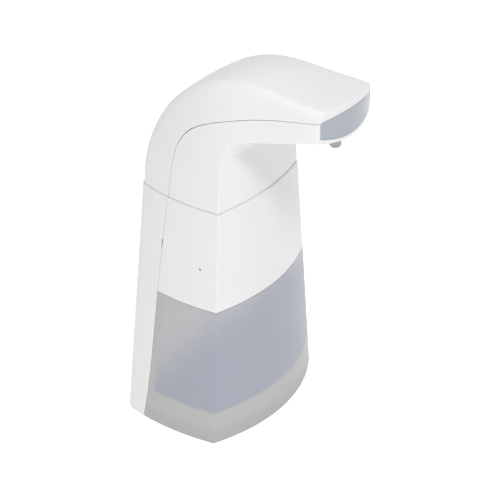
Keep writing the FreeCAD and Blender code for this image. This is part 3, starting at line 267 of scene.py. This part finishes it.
def tank_painted_light(name):
    """Frosted see-through plastic, with light and shade painted by position: painted light high
    up beside the housing, a painted cool shade down the front, and a lit milk-white tone in the
    rear wall and the hollow foot."""
    made = Finish(name)
    shader = made.shader
    floor_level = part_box("tank")[0].z + TANK_FLOOR
    cavity_shade, lit_pale, lit_milky = (0.393, 0.417, 0.488), (0.532, 0.524, 0.545), (0.510, 0.510, 0.502)
    # Painted light high up beside the housing fades down the slope into a painted cool shade down
    # the front.
    above_slope = made.along(0.0, 1.1, 1.0)
    cloud = made.node("ShaderNodeMath", operation="ADD")
    made.link(above_slope, cloud.inputs[0])
    made.link(made.remap(made.noise(0.03, 2.0), -0.004, 0.004), cloud.inputs[1])
    painted_light_share = made.soft(cloud.outputs[0], floor_level - TANK_PALE_START,
                      floor_level + TANK_PALE_FULL)
    wall = made.mix(painted_light_share, cavity_shade, lit_pale)
    # The rear edge leans forward up the tank, and its wall is seen edge on there.
    rear_edge = TANK_REAR_EDGE + TANK_REAR_LEAN * floor_level
    rear = made.soft(made.along(0.0, 1.0, TANK_REAR_LEAN), rear_edge - TANK_REAR_START,
                     rear_edge - TANK_REAR_FULL)
    # The rear wall takes the lit milk-white tone, painted over the cool shade.
    wall = made.mix(rear, wall, lit_milky)
    # Below the tank's floor the foot takes the lit milk-white tone, with a painted shade below the
    # foot line.
    ledge = made.soft(made.height(), floor_level + 0.0006, floor_level - 0.0014)
    foot_line = floor_level - TANK_FOOT_LINE
    foot_shade_share = made.soft(made.height(), foot_line + LINE_SOFTNESS, foot_line - LINE_SOFTNESS)
    shaded = made.mix(foot_shade_share, lit_milky, scaled(lit_milky, 0.93))
    made.link(made.mix(ledge, wall, shaded), shader.inputs["Base Color"])
    made.link(made.remap(made.noise(0.05, 1.0), 0.36, 0.42), shader.inputs["Roughness"])
    shader.inputs["Transmission Weight"].default_value = 0.25
    shader.inputs["IOR"].default_value = 1.46
    made.bump(made.noise(0.0008, 2.0), 0.04, 0.0001)
    return made.material


def tinted_window(name):
    """Smoked glossy pane that infrared light passes, with faint moulding waves."""
    made = Finish(name)
    drift = made.remap(made.noise(0.02), 0.0, 1.0)
    made.link(made.mix(drift, (0.30, 0.325, 0.365), (0.33, 0.355, 0.395)),
              made.shader.inputs["Base Color"])
    made.link(made.remap(made.noise(0.004, 4.0), 0.14, 0.2), made.shader.inputs["Roughness"])
    made.bump(made.noise(0.006, 1.0), 0.04, 0.0001)
    return made.material


def clear_lens(name):
    made = Finish(name)
    made.shader.inputs["Transmission Weight"].default_value = 0.6
    made.link(made.remap(made.noise(0.001), 0.05, 0.15), made.shader.inputs["Roughness"])
    made.link(made.mix(made.noise(0.002), (0.8, 0.85, 0.9), (0.9, 0.93, 0.95)),
              made.shader.inputs["Base Color"])
    return made.material


def wrapped_cell(name):
    """Shrink film round a cell: dark, with a copper colour at the upper end."""
    made = Finish(name)
    low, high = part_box("batteries")
    middle = (low.z + high.z) / 2
    half = (high.z - low.z) / 2
    dark, copper = (0.05, 0.07, 0.11), (0.55, 0.38, 0.18)
    above = made.remap(made.height(), 0.0, 1.0, middle + half * 0.55, middle + half * 0.56)
    film = made.mix(above, dark, copper)
    drift = made.remap(made.noise(0.01), 0.0, 1.0)
    made.link(made.mix(drift, film, scaled(dark, 1.6)), made.shader.inputs["Base Color"])
    made.link(made.remap(made.noise(0.004), 0.22, 0.32), made.shader.inputs["Roughness"])
    made.bump(made.noise(0.0015), 0.1, 0.00005)
    return made.material


def make_finishes():
    upright = (9.0, 9.0, 0.6)
    return {
        # The white shell's last colour is the painted highlight along its edges.
        "white_shell": edge_highlighted("white_shell", (0.69, 0.685, 0.695), 0.36, (0.92, 0.92, 0.925)),
        "clear_tank": tank_painted_light("clear_tank"),
        "window_grey": tinted_window("window_grey"),
        "nozzle_grey": finish("nozzle_grey", (0.36, 0.365, 0.38), 0.4),
        "plate_steel": finish("plate_steel", (0.58, 0.585, 0.59), 0.34, metallic=1.0, grain=0.12,
                              grain_size=0.004, stretch=upright, bump=0.12),
        "frame_plastic": finish("frame_plastic", (0.62, 0.63, 0.64), 0.5, bump=0.1),
        "pump_plastic": finish("pump_plastic", (0.75, 0.75, 0.72), 0.42),
        "gear_plastic": finish("gear_plastic", (0.86, 0.84, 0.76), 0.36),
        "shaft_steel": finish("shaft_steel", (0.62, 0.62, 0.63), 0.28, metallic=1.0, grain=0.15,
                              grain_size=0.002, bump=0.1),
        "rubber_seal": finish("rubber_seal", (0.03, 0.03, 0.03), 0.75, grain=0.25, bump=0.2),
        "soft_tube": finish("soft_tube", (0.80, 0.81, 0.80), 0.3, grain=0.06),
        "board_green": finish("board_green", (0.02, 0.13, 0.05), 0.35, grain=0.3, grain_size=0.003,
                              coat=0.3),
        "black_part": finish("black_part", (0.02, 0.02, 0.022), 0.45, grain=0.3, bump=0.15),
        "brass_part": finish("brass_part", (0.72, 0.52, 0.2), 0.25, metallic=1.0, grain=0.15,
                             grain_size=0.002),
        "can_metal": finish("can_metal", (0.75, 0.75, 0.76), 0.3, metallic=1.0, grain=0.1,
                            grain_size=0.003, stretch=upright),
        "cell_wrap": wrapped_cell("cell_wrap"),
        "light_lens": clear_lens("light_lens"),
        "cap_plastic": finish("cap_plastic", (0.66, 0.69, 0.72), 0.4, bump=0.12),
        "button_plastic": finish("button_plastic", (0.12, 0.22, 0.42), 0.35),
    }


def dress_nodes():
    """Gives every CAD node the finish of its material slot in the record."""
    finishes = make_finishes()
    for part in frame["record"]["subparts"]:
        slots = frame["nodes"][part["node"]].data.materials
        slots.clear()
        slots.append(finishes[part["material_slot"]])


dress_nodes()
add_camera()
add_world(WORLD_BRIGHTNESS)
for light in LIGHTS:
    add_panel(*light)
add_floor()
bpy.context.scene.view_settings.view_transform = "Standard"
